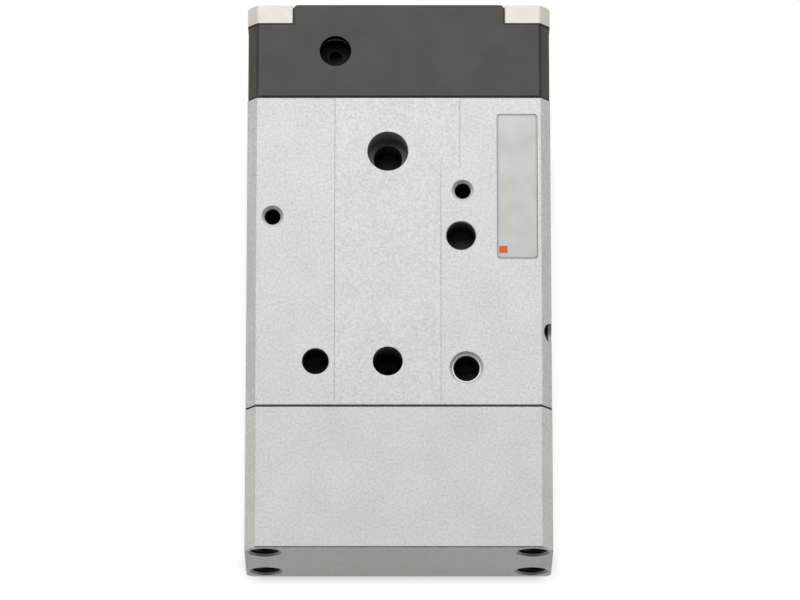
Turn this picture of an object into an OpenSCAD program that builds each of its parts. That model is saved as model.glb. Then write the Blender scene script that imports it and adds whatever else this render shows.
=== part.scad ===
// Pneumatic slide table: a twin-bore cylinder body over a crossed-roller table, with a sprung
// front block and an end lock in the rear cover. Millimetres. X is across, -Y is the way that
// the table extends, +Z is up: the payload face of the table is at Z = 0 and the mounting face
// of the body is on top.

/* [Body] */
// Width of the cylinder body
body_w = 62; // [56:0.5:68]
// Length of the cylinder body
body_len = 65.1; // [65:0.1:75]
// Height of the cylinder body, from the guide rail to the mounting face
body_h = 27; // [26.5:0.5:30]
// Width of the chamfer along the two long top edges
edge_chamfer_w = 2; // [1.5:0.1:2.4]
// Depth of the chamfer along the two long top edges
edge_chamfer_h = 2.7; // [1.5:0.1:3.5]
// Small chamfer that breaks the sharp edges
edge_break = 0.2; // [0.1:0.05:0.5]
// Depth of the shallow band milled along the mounting face
band_depth = 0.15; // [0.1:0.05:0.3]

/* [Cylinders] */
// Diameter of the two cylinder bores
bore_d = 16; // [15.5:0.1:16.2]
// Distance between the two bore axes
bore_pitch = 26; // [25.6:0.2:27]
// Height of the bore axes above the underside of the body
bore_up = 9.6; // [9.3:0.1:9.8]
// Travel of the table
stroke = 20; // [10:1:20]
// Travel of the front block against its springs
buffer_stroke = 4; // [3:0.5:4]
// Diameter of the piston rods
rod_d = 6; // [5.5:0.1:6.4]
// Length of the rod covers in the front of the bores
rod_cover_len = 7.1; // [6.5:0.1:7.5]
// Length of the pistons
piston_len = 10; // [9.5:0.1:10.5]
// Thickness of the rubber bumpers
bumper_t = 2; // [1.5:0.1:2.2]

/* [Guide] */
// Width of the guide rail
rail_w = 26.8; // [26:0.2:28]
// Height of the guide rail
rail_h = 5.6; // [5.4:0.1:7]
// Length of the guide rail
rail_len = 60; // [56:1:61]
// Diameter of the crossed rollers
roller_d = 3; // [2.6:0.1:3.1]
// Rollers in each cage
roller_count = 7; // [5:1:7]
// Distance from one roller to the next
roller_pitch = 5; // [4:0.1:5]
// Length of the roller cages
cage_len = 36; // [34:1:38]

/* [Table] */
// Distance that the table stands in from the body at each side
table_inset = 1; // [0.5:0.1:2]
// Length of the table
table_len = 88.5; // [86:0.5:89]
// Thickness of the table under the guide rail
table_t = 7; // [6.5:0.5:9]
// Distance that the table's front edge stands back from the front block
table_setback = 5; // [4:0.5:6]

/* [Front block] */
// Distance that the front block stands out from the body at each side
block_proud = 0.05; // [0:0.05:0.5]
// Length of the front block
block_len = 29.2; // [28.5:0.1:34]
// Height of the front block
block_h = 25.3; // [24.5:0.1:25.5]
// Width of the chamfer along the two long top edges of the front block
block_chamfer_w = 2.2; // [1.5:0.1:2.6]
// Depth of the chamfer along the two long top edges of the front block
block_chamfer_h = 3; // [1.5:0.1:3.6]
// Radius of the two long lower edges of the front block
block_low_r = 2.2; // [0.5:0.1:2.6]
// Gap between the front block and the body
block_gap = 0.3; // [0.2:0.1:0.6]
// Distance from each side of the front block to its front threads
front_thread_in = 4.05; // [4:0.05:5]
// Distance between the front threads, up
front_pitch_z = 16; // [15:0.5:16]
// Outer diameter of the front threads
front_thread_d = 6; // [5:0.1:6.2]
// Diameter of the countersinks of the front threads
front_sink_d = 6.9; // [6.4:0.1:7]

/* [Rear cover] */
// Distance that the rear cover stands in from the body at each side
cover_inset = 0.1; // [0:0.05:0.5]
// Length of the rear cover
cover_len = 19.8; // [19.3:0.1:24]
// Width of the chamfer along the two long top edges of the rear cover
cover_chamfer_w = 2; // [1.5:0.1:2.4]
// Depth of the chamfer along the two long top edges of the rear cover
cover_chamfer_h = 2.7; // [1.5:0.1:3.4]
// Thickness of the gasket between the body and the rear cover
gasket_t = 0.3; // [0.3:0.1:0.8]
// Thickness of the clamp bars
bar_t = 3.8; // [3.4:0.1:4.2]
// Width of the clamp bars
bar_w = 9.35; // [8.8:0.05:9.6]
// Diameter of the release hole over the lock pin
release_hole_d = 6.5; // [5.5:0.1:7]

/* [End lock] */
// Distance from the front of the rear cover to the lock pin
lock_in = 9.8; // [9.6:0.1:10]
// Travel of the lock pin
lock_stroke = 3; // [2.6:0.1:3]
// Diameter of the stem of the lock pin
lock_stem_d = 4; // [3.4:0.1:4]
// Diameter of the head of the lock pin
lock_head_d = 9; // [8.6:0.1:9.4]

/* [Fixing holes] */
// Bore of the two front fixing threads
front_fix_d = 5.3; // [4.6:0.1:5.4]
// Bore of the two small fixing threads
small_fix_d = 3.3; // [2.5:0.1:3.6]
// Bore of the two centre fixing holes
centre_fix_d = 6; // [5:0.1:6.2]
// Diameter of the locating hole
locating_d = 6; // [5:0.1:6.4]
// Bore of the air ports
port_d = 4.2; // [4:0.05:4.4]
// Bore of the threads in the table
table_thread_d = 4.2; // [3.3:0.1:5]
// Distance between the table threads, across
table_pitch_x = 40; // [38:1:44]
// Distance between the table threads, along
table_pitch_y = 30; // [24:1:36]

/* [Hidden] */
$fn = 64;

// Clearances: a running fit on the diameter, a seat between pieces of one body, and a cut that
// reaches past a face
run_fit = 0.1;
seat = 0.04;
past = 1;

// Widths across the unit follow the body
table_w = body_w - 2 * table_inset;
block_w = body_w + 2 * block_proud;
cover_w = body_w - 2 * cover_inset;

// Heights
rail_gap = 0.4;
rail_z = table_t + rail_gap;
body_z = rail_z + rail_h;
top_z = body_z + body_h;
bore_z = body_z + bore_up;
block_z = top_z - block_h;

// Places along Y: the model is centred between its front block and its rear cover
total_len = block_len + block_gap + body_len + gasket_t + cover_len;
y_block = -total_len / 2;
y_body = y_block + block_len + block_gap;
y_gasket = y_body + body_len;
y_cover = y_gasket + gasket_t;
y_end = total_len / 2;

// Cylinder parts from front to rear
snap_in = 0.7;
snap_t = 1.1;
snap_depth = 0.7;
y_snap = y_body + snap_in;
y_rod_cover = y_snap + snap_t + seat;
y_front_bumper = y_rod_cover + rod_cover_len;
end_room = 1.5;
y_piston = y_front_bumper + bumper_t + end_room + stroke + buffer_stroke;
y_rear_bumper = y_piston + piston_len + end_room / 3;
y_head_cap = y_rear_bumper + bumper_t;
cap_d = bore_d - seat;
bore_x = bore_pitch / 2;
stud_d = rod_d - 2;

// End lock
lock_y = y_cover + lock_in;
tail_collar_d = 10;
tail_room_d = tail_collar_d + 0.8;
tail_neck_d = 4;
tail_collar_t = 1.5;
y_tail_collar = lock_y + lock_stem_d / 2 + buffer_stroke + run_fit;
y_tail_end = y_tail_collar + tail_collar_t;
cover_drop = 0.1;
cover_top = top_z - cover_drop;
cover_z = body_z + 0.6;
bush_z = bore_z + tail_room_d / 2 + 0.4;
bush_t = 2;
bush_d = 8;
lock_head_t = 2;
lock_head_z = bush_z + bush_t + lock_stroke + run_fit;
release_t = 2;
lock_room_d = lock_head_d + 2 * run_fit;
lock_tip_z = bore_z + tail_collar_d / 2 + 0.7;

// Guide
y_rail = y_body + 2.5;
channel_half = rail_w / 2 + 1.2;
wall_z = body_z - 0.6;
roller_x = (rail_w / 2 + channel_half) / 2;
roller_z = (rail_z + wall_z) / 2;
groove_side = roller_d + 0.02;
roller_len = roller_d - 0.2;
cage_t = 0.8;
cage_h = 5.2;
y_cage = y_rail + rail_len - 10.5 - cage_len;
rail_screw_count = 5;
rail_screw_d = 3;

// Table and front block
y_table = y_block + table_setback;
pad_len = y_body - 0.8 - y_table;
block_screw_d = 4;
block_screw_in = 5;
block_screw_x = table_w / 2 - block_screw_in;
block_head_d = block_screw_d + 3;
block_head_t = 3.9;
block_head_room = 4.2;
block_screw_grip = 6.5;
front_thread_x = block_w / 2 - front_thread_in;
block_screw_y = [y_body - 16.5, y_body - 8];

// Rod bridge in its pocket
retainer_t = 4;
bridge_t = 7;
bridge_r = 5.9;
pocket_r = bridge_r + 0.4;
y_retainer = y_body - block_gap - retainer_t;
y_bridge = y_retainer - run_fit - bridge_t;
nut_t = 3.2;
nut_af = 8;
spring_x = 4.2;
spring_d = 7;
spring_wire = 1.1;
spring_room = 11;
y_pocket = y_bridge - spring_room;
retainer_half = block_w / 2 - 2.65;
retainer_h = 16;
retainer_screw_d = 3;
retainer_screw_x = retainer_half - 3.2;
retainer_screw_grip = 5;
retainer_head_d = 5.6;
retainer_head_t = 1.4;

// Clamp bars and their screws
bar_x = body_w / 2 + 0.05 - bar_w;
y_bar = y_end - 0.2 - bar_t;
clamp_x = bar_x + bar_w / 2;
clamp_z = [body_z + 4, top_z - 6];
clamp_screw_d = 3;
clamp_head_d = 5.5;
clamp_head_t = 2;
clamp_grip = 7;
bar_chamfer_h = 2.6;

// Ports and switch grooves
port_depth = 6;
air_d = 1.8;
plug_len = 4.2;
plug_in = 0.3;
plug_key = 2.8;
front_port = [y_body + 15.6, top_z - edge_chamfer_h];
rear_port = [y_body + 54.5, top_z - 10];
plug_ports = [[y_body + 15.5, top_z - 10], rear_port];
switch_groove_z = body_z + 11;
switch_groove_d = 4;

// Fixing holes in the mounting face: the centre holes are left of the middle
centre_hole_x = -2.24;
centre_hole_y = [y_body + 9.26, y_body + 53.7];
centre_sink_d = 8.4;
centre_sink_depth = 6;
centre_hole_depth = [12, 13];
face_hole_depth = 8;
front_fix_at = [[-16.86, y_body + 9.16], [13.7, y_body + 7.8]];
small_fix_at = [[5.3 - body_w / 2, y_body + 39.8], [bore_x, y_body + 45.3]];
locating_at = [12.66, y_body + 35.65];

// Name plate in its recess
plate_in = 2.8;
plate_up = 30.9;
plate_size = [8.1, 30.6];
plate_lo = [body_w / 2 - plate_in - plate_size[0], y_body + plate_up];
plate_t = 0.14;

// Grooves of the pistons
seal_at = 2.4;
seal_t = 2.2;
seal_depth = 1.7;
magnet_at = 6.2;
magnet_t = 2.4;
magnet_depth = 2.4;
piston_nut_t = 2.4;

// Dowel holes in the table
table_thread_in = 11;
table_thread_depth = 9;
table_dowel_d = 4;
table_dowel_in = 6;
table_dowel_pitch = 40;
table_dowel_depth = 5;

// ---------------------------------------------------------------- shared shapes

// A section with its x and z, run along Y
module along_y(y0, len) {
    translate([0, y0 + len, 0]) rotate([90, 0, 0]) linear_extrude(len) children();
}

// A section with its y and z, run along X
module along_x(x0, len) {
    translate([x0, 0, 0]) rotate([90, 0, 90]) linear_extrude(len) children();
}

module rod_y(x, z, y0, len, d) {
    translate([x, y0, z]) rotate([-90, 0, 0]) cylinder(d = d, h = len);
}

module rod_z(x, y, z0, len, d) {
    translate([x, y, z0]) cylinder(d = d, h = len);
}

module rod_x(y, z, x0, len, d) {
    translate([x0, y, z]) rotate([0, 90, 0]) cylinder(d = d, h = len);
}

module ring_y(x, z, y0, len, outer, inner) {
    difference() {
        rod_y(x, z, y0, len, outer);
        rod_y(x, z, y0 - past, len + 2 * past, inner);
    }
}

module turned_y(x, z, y0, outline) {
    translate([x, y0, z]) rotate([-90, 0, 0]) rotate_extrude() polygon(outline);
}

module o_ring_y(x, z, y, mid_d, wire) {
    translate([x, y, z]) rotate([-90, 0, 0])
        rotate_extrude() translate([mid_d / 2, 0]) circle(d = wire, $fn = 24);
}

// A straight drilling from one point to another
module drill(a, b, d) {
    run = b - a;
    translate(a) rotate([0, acos(run[2] / norm(run)), atan2(run[1], run[0])])
        cylinder(d = d, h = norm(run));
}

module hex_nut_y(x, z, y0, len, across, hole) {
    difference() {
        translate([x, y0, z]) rotate([-90, 0, 0])
            cylinder(d = across / cos(30), h = len, $fn = 6);
        rod_y(x, z, y0 - past, len + 2 * past, hole);
    }
}

// Outline with its corners rounded: each point is [x, y, radius]
function unit(v) = v / norm(v);
function corner_arc(before, at, after, r) =
    r == 0 ? [at] :
    let (steps = max(3, ceil(4 * r)),
         a = unit(before - at), b = unit(after - at), half = acos(a * b) / 2,
         centre = at + unit(a + b) * r / sin(half),
         from = at + a * r / tan(half) - centre, to = at + b * r / tan(half) - centre,
         a0 = atan2(from[1], from[0]),
         turn = (atan2(to[1], to[0]) - a0 + 540) % 360 - 180)
    [for (i = [0:steps]) centre + r * [cos(a0 + turn * i / steps), sin(a0 + turn * i / steps)]];
function flat(p) = [p[0], p[1]];
function rounded(points) = [
    for (i = [0:len(points) - 1])
        let (n = len(points))
        each corner_arc(flat(points[(i + n - 1) % n]), flat(points[i]),
                        flat(points[(i + 1) % n]), points[i][2])
];

// Block section with long top chamfers, each w wide and h deep with its edges rounded to r,
// and long lower edges that are rounded to low_r
function block_section(half, z0, z1, w, h, r, low_r) = rounded([
    [half, z0, low_r], [half, z1 - h, r], [half - w, z1, r],
    [w - half, z1, r], [-half, z1 - h, r], [-half, z0, low_r]
]);

// Side outline of a block whose end edges are broken, as y and z
function side_outline(y0, y1, z0, z1) = [
    [y0 + edge_break, z0], [y1 - edge_break, z0], [y1, z0 + edge_break], [y1, z1 - edge_break],
    [y1 - edge_break, z1], [y0 + edge_break, z1], [y0, z1 - edge_break], [y0, z0 + edge_break]
];

// Helical wire along +Z from the origin, as one swept solid
module spring(coil_d, wire, height, turns) {
    sides = 8;
    per_turn = 16;
    rings = turns * per_turn;
    radius = (coil_d - wire) / 2;
    rise = height - wire;
    points = [
        for (i = [0:rings], k = [0:sides - 1])
            let (a = 360 * i / per_turn, b = 360 * k / sides, r = radius + wire / 2 * cos(b))
            [r * cos(a), r * sin(a), wire / 2 + rise * i / rings + wire / 2 * sin(b)]
    ];
    walls = [
        for (i = [0:rings - 1], k = [0:sides - 1])
            let (k2 = (k + 1) % sides)
            [i * sides + k, (i + 1) * sides + k, (i + 1) * sides + k2, i * sides + k2]
    ];
    start = [for (k = [0:sides - 1]) k];
    end = [for (k = [sides - 1:-1:0]) rings * sides + k];
    polyhedron(points, concat(walls, [start, end]));
}

// ---------------------------------------------------------------- body and what it carries

// Plain hole from the mounting face down, with a countersunk mouth
module face_hole(x, y, d, depth, sink_d) {
    sink = (sink_d - d) / 2;
    rod_z(x, y, top_z - depth, depth + past, d);
    translate([x, y, top_z - sink]) cylinder(d1 = d, d2 = sink_d + 2 * past, h = sink + past);
}

module fixing_holes() {
    // Centre fixing holes: the rear one is counterbored
    face_hole(centre_hole_x, centre_hole_y[0], centre_fix_d + 0.1, centre_hole_depth[0],
              centre_fix_d + 0.4);
    rod_z(centre_hole_x, centre_hole_y[1], top_z - centre_hole_depth[1],
          centre_hole_depth[1] + past, centre_fix_d - 0.1);
    rod_z(centre_hole_x, centre_hole_y[1], top_z - centre_sink_depth, centre_sink_depth + past,
          centre_sink_d);
    // Front fixing threads
    face_hole(front_fix_at[0][0], front_fix_at[0][1], front_fix_d + 0.1, face_hole_depth,
              front_fix_d + 0.3);
    face_hole(front_fix_at[1][0], front_fix_at[1][1], front_fix_d, face_hole_depth,
              front_fix_d + 1.64);
    // Small fixing threads
    for (at = small_fix_at)
        face_hole(at[0], at[1], small_fix_d, face_hole_depth, small_fix_d + 1.2);
    // Locating hole
    face_hole(locating_at[0], locating_at[1], locating_d, face_hole_depth - 0.5,
              locating_d + 0.3);
}

module face_band() {
    left = -13.1;
    rear_right = 12.5;
    front_right = 8.6;
    step_y = y_body + 50;
    lip = 0.4;
    outline = rounded([
        [left, y_body + lip, 1.2], [front_right, y_body + lip, 0],
        [front_right, step_y, 0], [rear_right, step_y, 0],
        [rear_right, y_gasket + past, 0], [left, y_gasket + past, 0]
    ]);
    translate([0, 0, top_z - band_depth]) linear_extrude(band_depth + past) polygon(outline);
}

module plate_outline(grow) {
    lo = plate_lo - [grow, grow];
    hi = plate_lo + plate_size + [grow, grow];
    polygon(rounded([
        [lo[0], lo[1], 0.7], [hi[0], lo[1], 0.7], [hi[0], hi[1], 0.7], [lo[0], hi[1], 0.7]
    ]));
}

module switch_groove(side) {
    mouth = 2.9;
    centre_x = side * (body_w / 2 - 2.6);
    along_y(y_body - past, body_len + 2 * past) translate([centre_x, switch_groove_z]) {
        circle(d = switch_groove_d);
        translate([side > 0 ? 0 : -past - 3, -mouth / 2]) square([past + 3, mouth]);
    }
}

module port(side, place, to) {
    depth_x = body_w / 2 - port_depth;
    rod_x(place[0], place[1], side > 0 ? depth_x : -body_w / 2 - past, port_depth + past, port_d);
    drill([side * (depth_x + 0.6), place[0], place[1]], to, air_d);
}

module body() {
    chamber_x = bore_x + bore_d * 0.34;
    chamber_z = bore_z + bore_d * 0.34;
    y_front_air = y_body + 15.5;
    y_rear_air = y_piston + piston_len + 0.4;
    color("gainsboro") difference() {
        intersection() {
            along_y(y_body, body_len)
                polygon(block_section(body_w / 2, body_z, top_z, edge_chamfer_w, edge_chamfer_h,
                                      0, edge_break));
            along_x(-body_w, 2 * body_w)
                polygon(side_outline(y_body, y_gasket, body_z, top_z));
        }
        for (side = [-1, 1]) {
            rod_y(side * bore_x, bore_z, y_body - past, body_len + 2 * past, bore_d);
            rod_y(side * bore_x, bore_z, y_snap, snap_t, bore_d + 2 * snap_depth);
            for (z = clamp_z)
                rod_y(side * clamp_x, z, y_gasket - clamp_grip, clamp_grip + past,
                      clamp_screw_d);
            switch_groove(side);
        }
        for (i = [0:rail_screw_count - 1])
            rod_z(0, rail_screw_y(i), body_z - past, 6 + past, rail_screw_d);
        port(1, front_port, [chamber_x, y_front_air, chamber_z]);
        port(1, rear_port, [chamber_x, y_rear_air, chamber_z]);
        port(-1, plug_ports[0], [-chamber_x, y_front_air, chamber_z]);
        port(-1, plug_ports[1], [-chamber_x, y_rear_air, chamber_z]);
        face_band();
        fixing_holes();
        translate([0, 0, top_z - plate_t - seat])
            linear_extrude(plate_t + seat + past) plate_outline(0.1);
    }
}

module gasket() {
    inset = 0.3;
    color("black") difference() {
        along_y(y_gasket, gasket_t)
            polygon(block_section(body_w / 2 - inset, cover_z, top_z - inset, edge_chamfer_w,
                                  edge_chamfer_h, 0, edge_break));
        rod_y(-bore_x, bore_z, y_gasket - past, gasket_t + 2 * past, tail_room_d);
        for (side = [-1, 1], z = clamp_z)
            rod_y(side * clamp_x, z, y_gasket - past, gasket_t + 2 * past, clamp_screw_d + 0.4);
    }
}

// Outer form of the rear cover: chamfered section along Y, cut to a plan with two rear notches
module cover_form() {
    half = cover_w / 2;
    notch_x = bar_x - run_fit;
    notch_y = y_bar - seat;
    plan = rounded([
        [-half, y_cover, 0], [half, y_cover, 0], [half, notch_y, 0.5], [notch_x, notch_y, 0],
        [notch_x, y_end, 1], [-notch_x, y_end, 1], [-notch_x, notch_y, 0], [-half, notch_y, 0.5]
    ]);
    intersection() {
        along_y(y_cover, cover_len)
            polygon(block_section(half, cover_z, cover_top, cover_chamfer_w, cover_chamfer_h, 1.2,
                                  edge_break));
        translate([0, 0, cover_z]) linear_extrude(cover_top - cover_z) polygon(plan);
        along_x(-cover_w, 2 * cover_w)
            polygon(side_outline(y_cover, y_end, cover_z, cover_top));
    }
}

module rear_cover() {
    y_room_end = y_tail_end + 0.4;
    color("dimgray") difference() {
        cover_form();
        rod_y(-bore_x, bore_z, y_cover - past, y_room_end - y_cover + past, tail_room_d);
        rod_z(-bore_x, lock_y, bore_z, bush_z - bore_z + past, lock_stem_d + 1);
        rod_z(-bore_x, lock_y, bush_z, bush_t + past, bush_d);
        rod_z(-bore_x, lock_y, bush_z + bush_t, cover_top - release_t - bush_z - bush_t,
              lock_room_d);
        rod_z(-bore_x, lock_y, cover_top - release_t - past, release_t + 2 * past,
              release_hole_d);
        for (side = [-1, 1], z = clamp_z)
            rod_y(side * clamp_x, z, y_cover - past, cover_len + 2 * past, clamp_screw_d + 0.4);
    }
}

module clamp_bar(side) {
    outer = bar_x + bar_w;
    section = rounded([
        [bar_x, cover_z + 0.4, 0.3], [outer, cover_z + 0.4, 0.3],
        [outer, cover_top - bar_chamfer_h, 1], [outer - cover_chamfer_w, cover_top, 1],
        [bar_x, cover_top, 0.3]
    ]);
    plan = rounded([
        [bar_x, y_bar, 0], [outer, y_bar, 0.3], [outer, y_bar + bar_t, 0.6],
        [bar_x, y_bar + bar_t, 0.3]
    ]);
    color("beige") mirror([side < 0 ? 1 : 0, 0, 0]) difference() {
        intersection() {
            along_y(y_bar, bar_t) polygon(section);
            translate([0, 0, cover_z]) linear_extrude(body_h) polygon(plan);
        }
        for (z = clamp_z) {
            rod_y(clamp_x, z, y_bar - past, bar_t + 2 * past, clamp_screw_d + 0.4);
            rod_y(clamp_x, z, y_bar + bar_t - clamp_head_t - 0.2, clamp_head_t + past,
                  clamp_head_d + 0.4);
        }
    }
}

module left_clamp_bar() { clamp_bar(-1); }
module right_clamp_bar() { clamp_bar(1); }

// Low-head socket screw along Y, with its head at the rear
module clamp_screw(x, z) {
    y_under = y_bar + bar_t - clamp_head_t - 0.2 + seat;
    y_tip = y_gasket - clamp_grip + 1;
    difference() {
        union() {
            rod_y(x, z, y_tip, y_under - y_tip + 0.1, clamp_screw_d - seat);
            rod_y(x, z, y_under, clamp_head_t, clamp_head_d);
        }
        translate([x, y_under + 0.8, z]) rotate([-90, 0, 0]) cylinder(d = 2.3, h = 3, $fn = 6);
    }
}

module clamp_screws() {
    color("dimgray") for (side = [-1, 1], z = clamp_z) clamp_screw(side * clamp_x, z);
}

// Rod cover with a seal pocket in front and a ring groove round it
module rod_cover(side) {
    pocket_d = rod_d + 4;
    color("silver") difference() {
        rod_y(side * bore_x, bore_z, y_rod_cover, rod_cover_len, cap_d);
        rod_y(side * bore_x, bore_z, y_rod_cover - past, rod_cover_len + 2 * past,
              rod_d + run_fit);
        rod_y(side * bore_x, bore_z, y_rod_cover - past, 3 + past, pocket_d);
        ring_y(side * bore_x, bore_z, y_rod_cover + 4, 1.8, bore_d + past, bore_d - 2.8);
    }
}

module left_rod_cover() { rod_cover(-1); }
module right_rod_cover() { rod_cover(1); }

module rod_seals() {
    color("black") for (side = [-1, 1])
        turned_y(side * bore_x, bore_z, y_rod_cover + 0.3, [
            [rod_d / 2 + 0.05, 0], [rod_d / 2 + 0.9, 0.9], [rod_d / 2 + 1.3, 0],
            [rod_d / 2 + 2 - seat, 0], [rod_d / 2 + 2 - seat, 2.6], [rod_d / 2 + 0.4, 2.6],
            [rod_d / 2 + 0.4, 1]
        ]);
}

module rod_cover_rings() {
    color("black") for (side = [-1, 1])
        o_ring_y(side * bore_x, bore_z, y_rod_cover + 4.9, bore_d - 1.4, 1.3);
}

// Open retaining ring with two eyes
module snap_rings() {
    outer = bore_d + 2 * snap_depth - 0.2;
    color("dimgray") for (side = [-1, 1]) difference() {
        ring_y(side * bore_x, bore_z, y_snap + seat / 2, snap_t - seat, outer, bore_d - 2.2);
        translate([side * bore_x - 1.5, y_snap - past, bore_z + bore_d / 2 - 2])
            cube([3, snap_t + 2 * past, 4]);
    }
}

module front_bumpers() {
    color("black") for (side = [-1, 1])
        ring_y(side * bore_x, bore_z, y_front_bumper, bumper_t - seat, bore_d - 0.2, rod_d + 1);
}

module rear_bumpers() {
    color("black") for (side = [-1, 1])
        ring_y(side * bore_x, bore_z, y_rear_bumper, bumper_t - seat, bore_d - 0.2,
               tail_collar_d + 1);
}

// Head cap: the left one is bored through for the lock tail
module head_cap(side) {
    len = y_gasket - y_head_cap;
    nut_room = 4;
    color("silver") difference() {
        rod_y(side * bore_x, bore_z, y_head_cap, len, cap_d);
        rod_y(side * bore_x, bore_z, y_head_cap - past, (side < 0 ? len : nut_room) + 2 * past,
              tail_room_d);
        ring_y(side * bore_x, bore_z, y_head_cap + 3, 1.8, bore_d + past, bore_d - 2.8);
    }
}

module left_head_cap() { head_cap(-1); }
module right_head_cap() { head_cap(1); }

module head_cap_rings() {
    color("black") for (side = [-1, 1])
        o_ring_y(side * bore_x, bore_z, y_head_cap + 3.9, bore_d - 1.4, 1.3);
}

function rail_screw_y(i) = y_rail + rail_len * (i + 0.5) / rail_screw_count;

// Square V grooves along both sides of the guide
module roller_grooves(y0, len) {
    for (side = [-1, 1])
        along_y(y0, len) translate([side * roller_x, roller_z]) rotate(45)
            square(groove_side, center = true);
}

module guide_rail() {
    color("lightsteelblue") difference() {
        translate([-rail_w / 2, y_rail, rail_z]) cube([rail_w, rail_len, rail_h]);
        roller_grooves(y_rail - past, rail_len + 2 * past);
        for (i = [0:rail_screw_count - 1]) {
            rod_z(0, rail_screw_y(i), rail_z - past, rail_h + 2 * past, rail_screw_d + 0.4);
            rod_z(0, rail_screw_y(i), rail_z - past, 3 + past, rail_screw_d + 2.7);
        }
    }
}

module rail_screws() {
    color("dimgray") for (i = [0:rail_screw_count - 1]) difference() {
        union() {
            rod_z(0, rail_screw_y(i), rail_z + 0.1, 2.8, rail_screw_d + 2.4);
            rod_z(0, rail_screw_y(i), rail_z + 2.8, body_z - rail_z + 2, rail_screw_d - seat);
        }
        translate([0, rail_screw_y(i), rail_z - past]) cylinder(d = 2.9, h = 1.6 + past, $fn = 6);
    }
}

// Thin plates across both ends of the rail that stop the cages
module rail_end_plates() {
    plate = 1;
    color("silver") for (y = [y_rail - plate, y_rail + rail_len])
        translate([0.3 - channel_half, y, rail_z + 0.1])
            cube([2 * channel_half - 0.6, plate, rail_h - 0.2]);
}

module port_plugs() {
    color("dimgray") for (place = plug_ports) difference() {
        rod_x(place[0], place[1], plug_in - body_w / 2, plug_len, port_d - seat);
        translate([-body_w / 2 - past, place[0], place[1]]) rotate([0, 90, 0])
            cylinder(d = plug_key, h = plug_len / 2 + past, $fn = 6);
    }
}

module name_plate() {
    color("silver") translate([0, 0, top_z - plate_t - seat])
        linear_extrude(plate_t) plate_outline(0);
}

module lock_bush() {
    color("peru") difference() {
        rod_z(-bore_x, lock_y, bush_z + seat / 2, bush_t - seat, bush_d - seat);
        rod_z(-bore_x, lock_y, bush_z - past, bush_t + 2 * past, lock_stem_d + run_fit);
    }
}

// ---------------------------------------------------------------- table and front block

module table() {
    half = table_w / 2;
    y_threads = y_body + table_thread_in;
    y_dowels = y_body + table_dowel_in;
    color("gainsboro") difference() {
        union() {
            along_y(y_table, table_len) polygon([
                [edge_break - half, 0], [half - edge_break, 0], [half, edge_break],
                [half, wall_z], [channel_half, wall_z], [channel_half, table_t],
                [-channel_half, table_t], [-channel_half, wall_z], [-half, wall_z],
                [-half, edge_break]
            ]);
            translate([-half, y_table, table_t]) cube([table_w, pad_len, block_z - table_t]);
        }
        roller_grooves(y_table + pad_len, table_len - pad_len + past);
        for (side = [-1, 1]) {
            for (y = block_screw_y) {
                rod_z(side * block_screw_x, y, -past, block_z + 2 * past, block_screw_d + 0.5);
                rod_z(side * block_screw_x, y, -past, block_head_room + past,
                      block_head_d + 0.2);
            }
            for (y = [y_threads, y_threads + table_pitch_y])
                rod_z(side * table_pitch_x / 2, y, -past, table_thread_depth + past,
                      table_thread_d);
        }
        for (y = [y_dowels, y_dowels + table_dowel_pitch])
            rod_z(0, y, -past, table_dowel_depth + past, table_dowel_d);
    }
}

module bridge_outline(r) {
    translate([-bore_x, bore_z]) circle(r);
    translate([bore_x, bore_z]) circle(r);
    translate([-bore_x, bore_z - r]) square([bore_pitch, 2 * r]);
}

module retainer_outline(gap) {
    half = retainer_half + gap;
    low = bore_z - bridge_r - gap;
    translate([-half, low]) square([2 * half, retainer_h + 2 * gap]);
}

function retainer_screw_z() = bore_z - bridge_r + retainer_h - 4;

module front_block() {
    half = block_w / 2;
    thread_depth = 10;
    sink = (front_sink_d - front_thread_d) / 2;
    mid_z = block_z + block_h / 2;
    color("gainsboro") difference() {
        intersection() {
            along_y(y_block, block_len)
                polygon(block_section(half, block_z, top_z, block_chamfer_w, block_chamfer_h, 0,
                                      block_low_r));
            along_x(-block_w, 2 * block_w)
                polygon(side_outline(y_block, y_block + block_len, block_z, top_z));
        }
        along_y(y_pocket, y_body - y_pocket) bridge_outline(pocket_r);
        along_y(y_retainer - seat, y_body - y_retainer) retainer_outline(seat);
        for (side = [-1, 1]) {
            for (dz = [-front_pitch_z / 2, front_pitch_z / 2])
                translate([side * front_thread_x, y_block, mid_z + dz]) rotate([-90, 0, 0]) {
                    translate([0, 0, -past]) cylinder(d = front_thread_d, h = thread_depth + past);
                    translate([0, 0, -past])
                        cylinder(d1 = front_sink_d + 2 * past, d2 = front_thread_d, h = sink + past);
                }
            for (y = block_screw_y)
                rod_z(side * block_screw_x, y, block_z - past, block_screw_grip + past,
                      block_screw_d);
            rod_y(side * retainer_screw_x, retainer_screw_z(),
                  y_retainer - retainer_screw_grip - 1, retainer_screw_grip + past + 2,
                  retainer_screw_d);
            rod_y(side * spring_x, bore_z, y_pocket - 2, 3, 4.2);
        }
    }
}

module block_screws() {
    z_under = block_head_room - 0.2;
    color("dimgray") for (side = [-1, 1], y = block_screw_y) difference() {
        union() {
            rod_z(side * block_screw_x, y, z_under + 0.2 - block_head_t, block_head_t - seat,
                  block_head_d);
            rod_z(side * block_screw_x, y, z_under, block_z + block_screw_grip - 0.5 - z_under,
                  block_screw_d - seat);
        }
        translate([side * block_screw_x, y, 0])
            cylinder(d = block_screw_d - 0.5, h = block_head_t - 1.6, $fn = 6);
    }
}

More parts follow.
